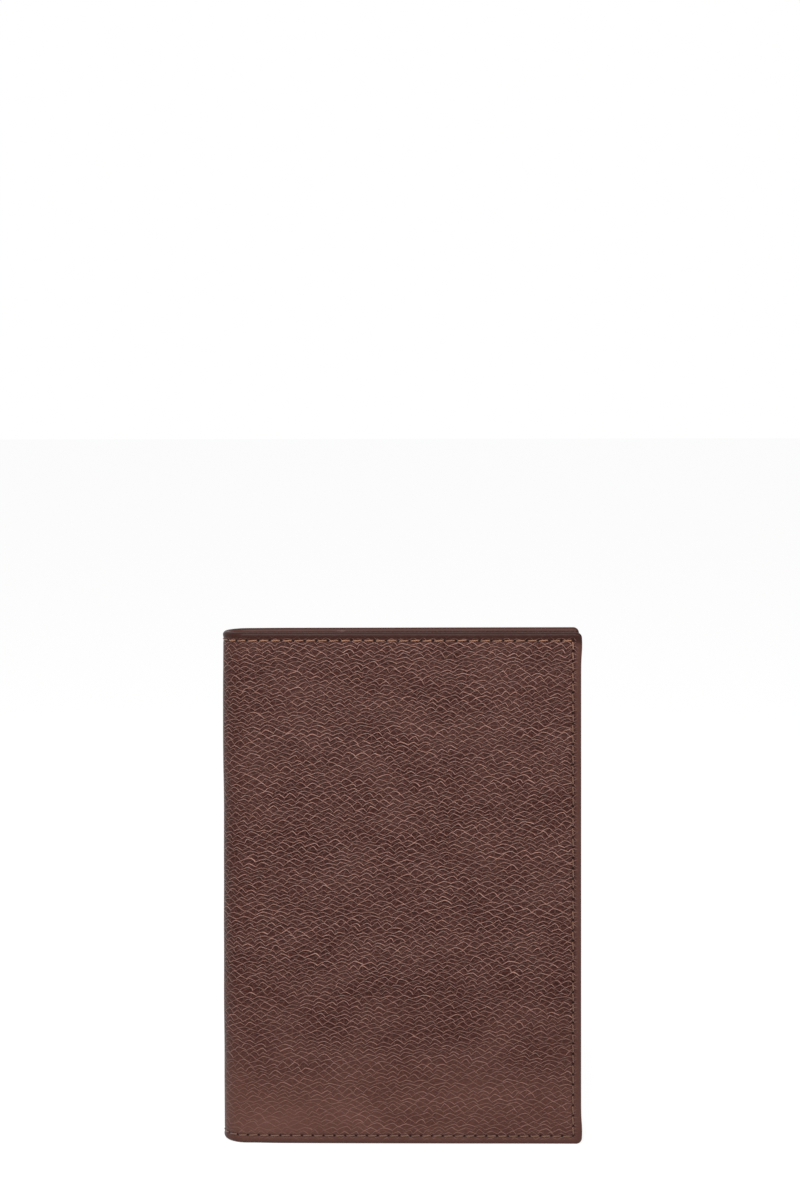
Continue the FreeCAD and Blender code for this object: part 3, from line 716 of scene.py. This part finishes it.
def stitches(name, starts, ends, high, lay, finish, slant=0.10):
    """A row of stitches, each a tube from one hole to the next.

    starts and ends are flat places (x, z) of the holes. Along a stitch with share t from -1 to 1
    the depth goes from high to stitch_low by the sixth power of t, and the tube thins towards the
    holes by the eighth. slant is how far the stitch leans across its row at each end.
    lay(x, z, depth) turns flat places into the standing holder's.
    """
    clearance, thinning, unevenness = 0.16, 0.35, 0.025
    t = np.linspace(-1, 1, stitch_rings)[None, :, None]
    turn = np.linspace(0, 2 * math.pi, stitch_sides + 1)[None, None, :]
    starts, ends = np.asarray(starts, float), np.asarray(ends, float)
    run = ends - starts
    length = np.hypot(run[:, 0], run[:, 1])
    ahead = run / length[:, None]
    aside = np.stack([-ahead[:, 1], ahead[:, 0]], -1)
    middle = (starts + ends) / 2
    reach = length / 2 - clearance
    count = len(starts)
    wobble = np.random.default_rng(count).normal(0, unevenness, count)[:, None, None]
    radius = thread_radius * (1 - thinning * np.abs(t) ** 8)
    off = radius * np.cos(turn) + slant * t + wobble
    way = reach[:, None, None] * t + 0 * off
    round_drop = radius * np.sin(turn) * (1 - 0.2 * np.abs(t) ** 8)
    drop = high + (stitch_low - high) * np.abs(t) ** 6 + round_drop
    x = middle[:, 0, None, None] + ahead[:, 0, None, None] * way + aside[:, 0, None, None] * off
    z = middle[:, 1, None, None] + ahead[:, 1, None, None] * way + aside[:, 1, None, None] * off
    points = lay(x, z, drop + 0 * x)
    grid = np.arange(count * stitch_rings * (stitch_sides + 1)).reshape(
        count, stitch_rings, stitch_sides + 1)
    faces = np.stack([grid[:, :-1, :-1], grid[:, 1:, :-1], grid[:, 1:, 1:], grid[:, :-1, 1:]], -1)
    cut = np.stack(np.broadcast_arrays(way / 1000 + 0.02, turn / (2 * math.pi)), -1)
    piece = piece_of(name, points, faces.reshape(-1, 4), cut, finish)
    return piece


outer_thread = thread_finish("outer_thread", (0.07, 0.030, 0.020, 1), (0.34, 0.165, 0.095, 1))


def hole_row(first, last, count):
    """Needle holes from first to last, as the start and the end of each of count stitches."""
    holes = np.linspace(first, last, count + 1)
    return holes[:-1], holes[1:]


upper_z, lower_z = height - seam_margin, seam_margin
seam_rows = {
    "lower_stitching": ((0, lower_z), (seam_length, lower_z), lower_count),
    "upper_stitching": ((0, upper_z), (seam_length, upper_z), upper_count),
    "fore_edge_stitching": ((seam_length, lower_z), (seam_length, upper_z), side_count),
}

for side, sign in (("front", 1), ("back", -1)):

    def on_cover(x, z, depth, sign=sign):
        """A cover's flat places stood up, with their depth measured from its outer face."""
        u = sign * (fold_u + x)
        return stand(u, pulled(u, z), depth + softened(u, z))

    for row, (first, last, count) in seam_rows.items():
        starts, ends = hole_row(first, last, count)
        thread = stitches(
            f"{side}_{row}_thread", starts, ends, 0.06, on_cover, outer_thread)
        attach(thread, f"{side}_cover")
        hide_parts(f"{side}_{row}")

# ------------------------------------------------------------------------------------------------
# Cloth linings
# Plain-woven brown cotton, pasted over the boards between the hems and over the spine's
# interlining. The same cloth backs the card panel and its pockets and lines the passport sleeve.
# ------------------------------------------------------------------------------------------------

lining_thickness, lining_clearance = 0.2, 0.02
lining_depth = leather + board + lining_thickness
lining_low = hem_width + lining_clearance
lining_high = height - hem_width - lining_clearance
lining_rows = 96


def cloth_finish(name, dark, light, pitch=0.42):
    """Plain weave: warp and weft threads that go over and under each other, pitch mm apart."""
    material = bpy.data.materials.new(name)
    tree = Finish(material)
    x, y, z = (coordinate * 1000 for coordinate in tree.split(tree.place()))
    turn = math.pi / pitch
    across = ((x + y) * turn).sine()
    up = (z * turn).sine()
    over = (across * up).ramp(-0.35, 0.35)
    thread = over * abs(across) + (1 - over) * abs(up)
    fuzz = tree.node("TexNoise", sockets={
        "Vector": tree.place(), "Scale": 900.0, "Detail": 2.0})
    fade = tree.node("TexNoise", sockets={
        "Vector": tree.place(), "Scale": 60.0, "Detail": 3.0})
    tint = tree.blend(thread.ramp(0.2, 0.9) * fuzz.ramp(0.3, 0.7, 0.7, 1.0), dark, light)
    tint = tree.blend(fade.ramp(0.35, 0.7, 0.0, 0.25), tint, dark)
    bump = tree.node("Bump", sockets={"Height": thread * 0.09 + fuzz * 0.03, "Distance": 0.001})
    tree.output(tree.node("BsdfPrincipled", sockets={
        "Base Color": tint, "Roughness": 0.85, "Normal": bump, "Specular IOR Level": 0.2,
        "Sheen Weight": 0.1,
    }))
    return material


lining_finish = cloth_finish("lining_cloth", (0.045, 0.024, 0.018, 1), (0.13, 0.078, 0.058, 1))


def lining(name, start, end, columns):
    """Lining between two places along u: a sheet at one depth that follows the leather's sway."""
    u = np.linspace(start, end, columns)[None, :]
    z = np.linspace(lining_low, lining_high, lining_rows)[:, None]
    depth = lining_depth + softened(u, z)
    cut = np.stack(np.broadcast_arrays(u + pattern_x, z + pattern_z), -1)
    piece = surface(name, stand(u + 0 * z, pulled(u, z), depth), cut, lining_finish, inwards=True)
    return piece


for side, sign in (("front", 1), ("back", -1)):
    ends = sorted((sign * fold_u, sign * (fold_u + cover_width - hem_width)))
    cloth = lining(f"{side}_cover_cloth", *ends, 85)
    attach(cloth, f"{side}_cover")
    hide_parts(f"{side}_cover_lining")

for name, start, end, strips in spine_spans():
    cloth = lining(f"spine_cloth_{name}", min(start, end), max(start, end), 9)
    follow_strips(cloth, start, end, strips)
    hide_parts(*(f"spine_lining_{k}" for k in strips))

for node in ("passport_sleeve_lining", "card_panel_backing", "card_pocket_lining_1",
             "card_pocket_lining_2"):
    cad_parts[node].material_slots[0].material = lining_finish

# ------------------------------------------------------------------------------------------------
# Boards
# Grey-brown bonded board, cut a little smaller than the cover and hidden in the turned leather.
# The boards keep the shape they have in the frame, and only get their fibrous surface here.
# ------------------------------------------------------------------------------------------------

board_finish = bpy.data.materials.new("stiffener_board")
pulp = Finish(board_finish)
fibres = pulp.node("TexNoise", sockets={
    "Vector": pulp.place(), "Scale": 1400.0, "Detail": 3.0})
pulp.output(pulp.node("BsdfPrincipled", sockets={
    "Base Color": pulp.blend(fibres, (0.22, 0.14, 0.09, 1), (0.36, 0.25, 0.16, 1)),
    "Roughness": 0.9,
    "Normal": pulp.node("Bump", sockets={"Height": fibres * 0.04, "Distance": 0.001}),
}))
for side in ("front", "back"):
    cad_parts[f"{side}_cover_board"].material_slots[0].material = board_finish

# ------------------------------------------------------------------------------------------------
# Passport sleeve
# One piece of thinner, finer-grained leather on the back cover, sewn down on three sides. It is
# raised by the thickness of a passport's own cover, and its open edge is turned and stitched.
# ------------------------------------------------------------------------------------------------

sleeve_start, sleeve_thickness, pocket_rise = 24.0, 0.7, 0.6
seam_flange, panel_inset = 3.6, 0.6
panel_corner = 0.9


def panel_rings(thickness, lip=1.4):
    """Rings of a cut leather edge: over the rounded rim and a little way back on the underside."""
    half = thickness / 2
    turn = np.linspace(0, math.pi, 9)
    inset = np.r_[1.6, 1.1, 0.75, half * (1 - np.sin(turn)), lip]
    drop = np.r_[0, 0, 0, half * (1 - np.cos(turn)), thickness]
    return inset, drop


def panel(name, x_range, z_range, counts, thickness, face, sign, dent):
    """A leather panel inside a cover: face(x, z) is its depth, and its rim turns under.

    dent(x, z) gives the free seam's place and how far all seams pull the face back to the cover.
    """
    inset, drop = panel_rings(thickness)
    used = np.r_[0, np.cumsum(np.hypot(np.diff(inset), np.diff(drop)))]
    x, z, ring, cut = tray(x_range, z_range, counts, inset, used, panel_corner, free_fold=True)
    depth = face(x, z) - drop[ring]
    hole, gap = seam_place(x, z)
    other_hole, other_gap, pull = dent(x, z)
    depth = depth - pull * (drop[ring] < thickness / 2)
    closer = np.abs(other_gap) < np.abs(gap)
    hole, gap = np.where(closer, other_hole, hole), np.where(closer, other_gap, gap)
    from_rim = np.minimum(np.minimum(x - x_range[0], x_range[1] - x),
                          np.minimum(z - z_range[0], z_range[1] - z))
    grain = hem_grain + (1 - hem_grain) * np.clip(from_rim / 1.2, 0, 1)
    u = sign * (fold_u + x)
    depth = depth + softened(u, z)
    order = slice(None, None, sign)
    cut = np.stack([sign * cut[..., 0] + panel_pattern_x, cut[..., 1] + pattern_z], -1)
    return surface(
        name, stand(u, pulled(u, z), depth)[:, order], cut[:, order], inner_finish, inwards=True,
        grain=grain[:, order], hole=hole[:, order], gap=gap[:, order])


inner_finish = leather_finish(
    "fine_leather", (0.050, 0.017, 0.012, 1), (0.078, 0.029, 0.021, 1), (0.15, 0.075, 0.058, 1),
    cell=(1.5, 0.62), lift=0.05, gloss=0.46)

free_seam = 1.5  # from a panel's open edge to its seam
sleeve_seam = sleeve_start + free_seam
sleeve_rows = (seam_flange + 1.5, height - seam_flange - 1.5)
sleeve_count = round((sleeve_rows[1] - sleeve_rows[0]) / 3.0)
sleeve_pitch = (sleeve_rows[1] - sleeve_rows[0]) / sleeve_count


def panel_furrow(hole, gap, deep, wide):
    """Furrow of a panel's seam in mm: a bell across the seam times a wave along it."""
    return deep * np.exp(-(gap / wide) ** 2) * (1 + 0.4 * np.cos(2 * math.pi * hole))


def border_pull(x, z):
    """How deep the furrow of a panel's three sewn sides is, in mm."""
    return panel_furrow(*seam_place(x, z), 0.22, 0.55)


def sleeve_face(x, z):
    """Depth of the sleeve: its border on the hem, then raised, and fullest in its middle."""
    inside = np.minimum(np.minimum(z - seam_flange, height - seam_flange - z),
                        cover_width - seam_flange - x)
    raised = soft_step(inside / 1.8 + 0.4)
    full = soft_step(inside / 26) * (0.22 + 0.06 * sway(x * 1.7, z * 1.7))
    return edge_depth + sleeve_thickness + pocket_rise * raised + full


def sleeve_pull(x, z):
    """Seams of the sleeve: the three sewn sides and the row that holds its turned open edge."""
    hole, gap = (z - sleeve_rows[0]) / sleeve_pitch, x - sleeve_seam
    return hole, gap, border_pull(x, z) + panel_furrow(hole, gap, 0.16, 0.5)


sleeve = panel(
    "sleeve_leather", (sleeve_start, cover_width - panel_inset),
    (panel_inset, height - panel_inset),
    (131, 265), sleeve_thickness, sleeve_face, -1, sleeve_pull)
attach(sleeve, "back_cover")
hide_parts("passport_sleeve")

# ------------------------------------------------------------------------------------------------
# Card panel
# Three leaning leather facings on the front cover, each lapping the one above, under a plain top
# piece. Each facing's free edge is cut, dyed and creased, and all are sewn through at the border.
# ------------------------------------------------------------------------------------------------

panel_start, facing, backing = 2.0, 0.6, 0.2
slot_top, slot_step, slot_overlap, slot_total = 104.0, 14.0, 4.0, 3
slot_length = slot_step + slot_overlap
slot_rise = (facing + 0.02) * slot_length / slot_step
slot_stack = 0.17  # how much higher each facing starts than the one above it
backing_face = edge_depth + pocket_rise + backing


def slot_face(k):
    """Depth of facing k: flat up to the lower end of its lean, then rising to its free edge."""
    base = backing_face + (k - 1) * slot_stack + facing
    opening = slot_top - (k - 1) * slot_step

    def face(x, z):
        lean = np.clip((z - (opening - slot_length)) / slot_length, 0, 1)
        crease = 0.10 * np.exp(-((opening - 1.6 - z) / 0.3) ** 2)
        centre = (x - (panel_start + cover_width) / 2) / 45
        bow = 0.16 * lean * np.clip(1 - centre ** 2, 0, 1)
        return base + slot_rise * lean - crease + bow

    return face


def panel_depth(x, z):
    """Depth of whichever card facing lies on top at a height."""
    depth = backing_face + facing + 0 * z
    for k in range(slot_total, 0, -1):
        opening = slot_top - (k - 1) * slot_step
        under_next = opening - slot_step if k < slot_total else 0
        depth = np.where((z >= under_next) & (z < opening), slot_face(k)(x, z), depth)
    return depth


panel_x = (panel_start, cover_width - panel_inset)
panel_seam = panel_start + free_seam


def panel_pull(x, z):
    """Seams of the card panel: the three sewn sides and the row beside the fold."""
    hole, gap = (z - seam_margin) / side_pitch, x - panel_seam
    return hole, gap, border_pull(x, z) + panel_furrow(hole, gap, 0.18, 0.5)


pieces = [("card_top_leather", "card_panel_top", slot_top - slot_overlap, height - panel_inset,
           lambda x, z: backing_face + facing + 0 * x)]
for k in range(1, slot_total + 1):
    opening = slot_top - (k - 1) * slot_step
    low = panel_inset if k == slot_total else opening - slot_length
    pieces.append((f"card_slot_leather_{k}", f"card_slot_{k}", low, opening, slot_face(k)))
for name, node, low, high, face in pieces:
    rows = int((high - low) / 0.5)
    leaf = panel(name, panel_x, (low, high), (171, rows), facing, face, 1, panel_pull)
    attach(leaf, "front_cover")
    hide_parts(node)

# ------------------------------------------------------------------------------------------------
# Inner seams
# The other side of the same lockstitch, and the rows along the open edges of panel and sleeve.
# Each stitch lies on what is on top there: the hem, a card facing or the sleeve.
# ------------------------------------------------------------------------------------------------

inner_thread = thread_finish("inner_thread", (0.085, 0.040, 0.026, 1), (0.30, 0.17, 0.11, 1))
inner_faces = {
    "front": lambda x, z: np.where(x < panel_start, edge_depth, panel_depth(x, z)),
    "back": lambda x, z: np.where(x < sleeve_start, edge_depth, sleeve_face(x, z)),
}
free_rows = {
    "front": ((panel_seam, seam_margin + side_pitch), (panel_seam, upper_z - side_pitch),
              side_count - 2),
    "back": ((sleeve_seam, sleeve_rows[0]), (sleeve_seam, sleeve_rows[1]), sleeve_count),
}

for side, sign in (("front", 1), ("back", -1)):

    def inside_cover(x, z, depth, sign=sign, face=inner_faces[side]):
        """The same on the inside, with the depth measured from what lies on top by the stitch."""
        u = sign * (fold_u + x)
        centre_x, centre_z = (c.mean((1, 2), keepdims=True) for c in (x, z))
        under = face(centre_x + 0 * x, np.clip(z, centre_z - 1.4, centre_z + 1.4))
        return stand(u, pulled(u, z), under - depth + softened(u, z))

    starts, ends = [], []
    for first, last, count in [*seam_rows.values(), free_rows[side]]:
        row_starts, row_ends = hole_row(first, last, count)
        starts.append(row_starts)
        ends.append(row_ends)
    thread = stitches(f"{side}_inner_thread", np.concatenate(starts), np.concatenate(ends),
                      0.03, inside_cover, inner_thread, slant=-0.08)
    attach(thread, f"{side}_cover")
    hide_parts(f"{side}_inner_stitching")


def round_spine(x, z, depth):
    """Outer stitches first, then inner ones, with their depth measured from the hem."""
    outside = np.arange(len(x))[:, None, None] < len(x) // 2
    real = np.where(outside, depth, edge_depth - depth)
    return stand(x, pulled(x, z), real + softened(x, z))


for k in range(1, strip_count + 1):
    centre = (k - middle_strip) * strip_arc
    starts, ends = (
        [(centre + end * strip_arc / 2, lower_z), (centre + end * strip_arc / 2, upper_z)] * 2
        for end in (-1, 1))
    thread = stitches(f"spine_thread_{k}", starts, ends, 0.05, round_spine, outer_thread)
    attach(thread, f"spine_{k}")
    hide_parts(f"spine_stitching_{k}")
